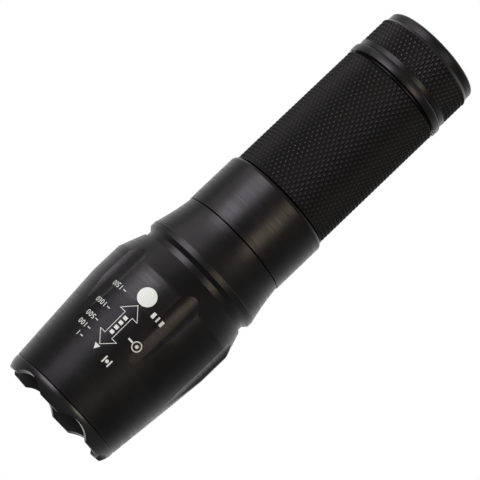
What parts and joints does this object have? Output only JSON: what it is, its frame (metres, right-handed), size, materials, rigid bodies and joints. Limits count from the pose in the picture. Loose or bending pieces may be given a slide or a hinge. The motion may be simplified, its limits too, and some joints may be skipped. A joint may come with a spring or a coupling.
{
  "type": "zoom flashlight",
  "caption": "Hand-held flashlight with a fluted sliding zoom head, scalloped bezel, knurled grip and a tail cap with a push switch.",
  "frame": {"origin": "centre of the tail end face, which the light stands on", "axes": "+Z along the barrel towards the lens; +Y is the side opposite the printed scale"},
  "size_m": [0.041, 0.041, 0.1405],
  "materials": {
    "black_anodised": "black satin anodised over machined and knurled surfaces",
    "black_rubber": "matt black moulded rubber",
    "spring_steel": "plain drawn spring wire",
    "bare_aluminium": "bare machined",
    "green_board": "green solder resist on glass-fibre board",
    "dark_component": "dark moulded plastic and ferrite",
    "tan_component": "fired ceramic",
    "brass": "machined brass",
    "red_insulation": "red silicone insulation",
    "black_insulation": "black silicone insulation",
    "plated_steel": "nickel plated steel",
    "clear_silicone": "clear dome over yellow phosphor",
    "lens_glass": "polished, with a coated front",
    "battery_wrap": "heat-shrunk blue film",
    "pale_plastic": "moulded nylon and fishpaper"
  },
  "bodies": {
    "barrel": {"battery_tube": "black_anodised", "front_seal": "black_rubber", "tail_seal": "black_rubber", "front_body": "black_anodised", "slide_seals": "black_rubber", "stop_ring": "spring_steel", "lamp_pillar": "bare_aluminium", "driver_board": "green_board", "driver_inductor": "dark_component", "driver_chip": "dark_component", "driver_capacitors": "tan_component", "driver_spring": "spring_steel", "driver_retaining_ring": "brass", "lead_red": "red_insulation", "lead_black": "black_insulation", "lamp_board": "bare_aluminium", "lamp_board_screws": "plated_steel", "lamp_package": "tan_component", "lamp_dome": "clear_silicone"},
    "zoom_head": {"head_sleeve": "black_anodised", "head_shell": "black_anodised", "lens": "lens_glass", "lens_seal": "black_rubber", "bezel_ring": "black_anodised"},
    "battery": {"battery_can": "plated_steel", "battery_core": "bare_aluminium", "battery_wrap": "battery_wrap", "battery_insulator": "pale_plastic", "battery_terminal": "plated_steel"},
    "cap_spring": {"tail_spring": "spring_steel"},
    "cap": {"tail_cap": "black_anodised", "switch_boot": "black_rubber", "boot_washer": "pale_plastic", "switch_housing": "dark_component", "switch_return_spring": "spring_steel", "switch_board": "green_board", "switch_retaining_ring": "brass"},
    "button": {"switch_plunger": "pale_plastic"}
  },
  "joints": [
    {"name": "head_zoom", "type": "slide", "parent": "barrel", "child": "zoom_head", "axis": [0, 0, 1], "range_m": [0, 0.015]},
    {"name": "battery_out", "type": "slide", "parent": "barrel", "child": "battery", "axis": [0, 0, -1], "range_m": [0, 0.075]},
    {"name": "tail_cap_turn", "type": "hinge", "parent": "battery", "child": "cap_spring", "pos_m": [0, 0, 0], "axis": [0, 0, -1], "range_deg": [0, 1710]},
    {"name": "tail_cap_screw", "type": "slide", "parent": "cap_spring", "child": "cap", "axis": [0, 0, -1], "range_m": [0, 0.0048], "deforming": ["tail_spring"]},
    {"name": "button_press", "type": "slide", "parent": "cap", "child": "button", "axis": [0, 0, 1], "range_m": [0, 0.0015], "stiffness_N_per_m": 1500, "springref_m": -0.001, "deforming": ["switch_boot", "switch_return_spring"]}
  ],
  "couplings": [
    {"joint": "tail_cap_screw", "follows": "tail_cap_turn", "m_per_rad": 0.00015915}
  ]
}
